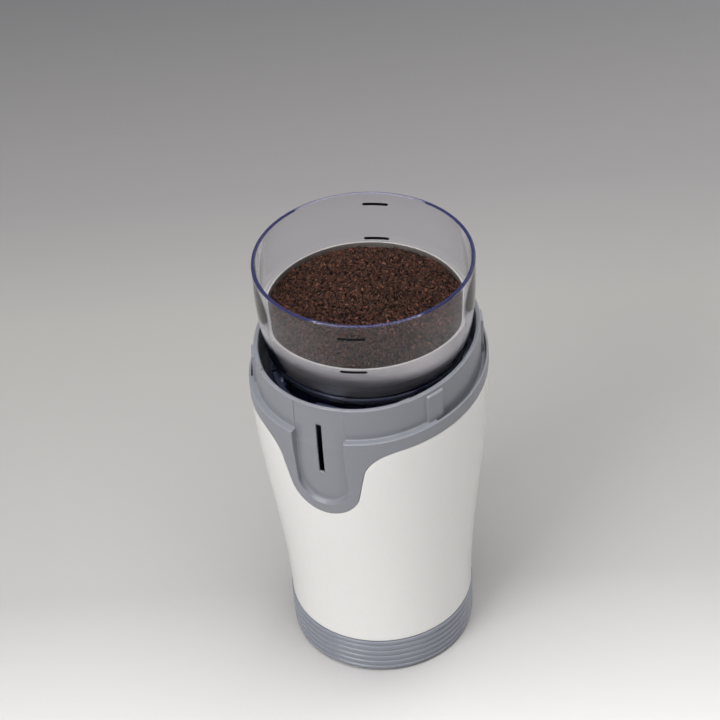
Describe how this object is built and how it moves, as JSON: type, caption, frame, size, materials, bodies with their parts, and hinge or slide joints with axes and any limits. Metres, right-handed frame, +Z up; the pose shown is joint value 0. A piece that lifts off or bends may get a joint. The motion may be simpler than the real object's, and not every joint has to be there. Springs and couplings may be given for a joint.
{
  "type": "electric spice grinder",
  "caption": "Small electric spice and coffee grinder: flared motor base with an oval collar and a tongue channel, and a lift-out clear chamber with a steel bowl and a blade.",
  "frame": {"origin": "on the table, under the middle of the round base ring", "axes": "+Z up along the motor shaft; the tongue channel and the switch slot face -Y"},
  "size_m": [0.0896, 0.1001, 0.184],
  "materials": {
    "white_shell": "glossy",
    "grey_collar": "satin",
    "dark_well": "satin",
    "ring_plastic": "satin",
    "cover_plastic": "matt",
    "foot_rubber": "matt",
    "screw_steel": "plated",
    "cast_aluminium": "cast",
    "lamination_steel": "oiled",
    "copper": "varnished",
    "commutator_copper": "turned",
    "black_rubber": "matt",
    "bronze": "sintered",
    "insulator": "matt",
    "carbon": "matt",
    "spring_steel": "ground",
    "brass_tabs": "plated",
    "ceramic_white": "matt",
    "wire_sleeve": "satin",
    "fan_plastic": "satin",
    "coupling_plastic": "satin",
    "slider_plastic": "satin",
    "clear_smoky": "clear",
    "clear_skirt": "clear",
    "bowl_steel": "brushed",
    "blade_steel": "polished"
  },
  "bodies": {
    "housing": {"housing_shell": "white_shell", "top_collar": "grey_collar", "chamber_well": "dark_well", "locator_ring": "dark_well", "drip_collar": "dark_well", "base_ring": "ring_plastic", "bottom_cover": "cover_plastic", "rubber_feet": "foot_rubber", "cover_screws": "screw_steel", "upper_bracket": "cast_aluminium", "lower_bracket": "cast_aluminium", "motor_stator": "lamination_steel", "field_coils": "copper", "motor_bolts": "screw_steel", "mount_grommets": "black_rubber", "mount_screws": "screw_steel", "upper_bearing": "bronze", "lower_bearing": "bronze", "brush_holders": "insulator", "carbon_brushes": "carbon", "brush_springs": "spring_steel", "well_seal": "black_rubber", "switch_bracket": "insulator", "switch_body": "insulator", "switch_terminals": "brass_tabs", "switch_screws": "screw_steel", "slider_spring": "spring_steel", "thermal_fuse": "ceramic_white", "lead_wires": "wire_sleeve"},
    "rotor": {"motor_shaft": "spring_steel", "armature_core": "lamination_steel", "armature_windings": "copper", "commutator": "commutator_copper", "cooling_fan": "fan_plastic", "drive_coupling": "coupling_plastic"},
    "slider": {"switch_slider": "slider_plastic"},
    "plunger": {"switch_plunger": "ceramic_white"},
    "chamber": {"chamber_shell": "clear_smoky", "chamber_skirt": "clear_skirt", "steel_bowl": "bowl_steel", "bowl_seal": "black_rubber", "shaft_bushing": "bronze"},
    "blade": {"blade_shaft": "spring_steel", "grinding_blade": "blade_steel", "blade_nut": "blade_steel", "thrust_washer": "ceramic_white", "driven_coupling": "coupling_plastic"}
  },
  "joints": [
    {"name": "motor_spin", "type": "hinge", "parent": "housing", "child": "rotor", "pos_m": [0, 0, 0], "axis": [0, 0, 1], "continuous": true},
    {"name": "slider_press", "type": "slide", "parent": "housing", "child": "slider", "axis": [0, 0, -1], "range_m": [0, 0.0025], "stiffness_N_per_m": 500, "springref_m": -0.002, "deforming": ["slider_spring"]},
    {"name": "plunger_press", "type": "slide", "parent": "housing", "child": "plunger", "axis": [0, 0, -1], "range_m": [0, 0.0025]},
    {"name": "chamber_lift", "type": "slide", "parent": "housing", "child": "chamber", "axis": [0, 0, 1], "range_m": [0, 0.06]},
    {"name": "blade_spin", "type": "hinge", "parent": "chamber", "child": "blade", "pos_m": [0, 0, 0], "axis": [0, 0, 1], "continuous": true}
  ],
  "couplings": [
    {"joint": "plunger_press", "follows": "slider_press", "ratio": 1},
    {"joint": "blade_spin", "follows": "motor_spin", "ratio": 1}
  ]
}
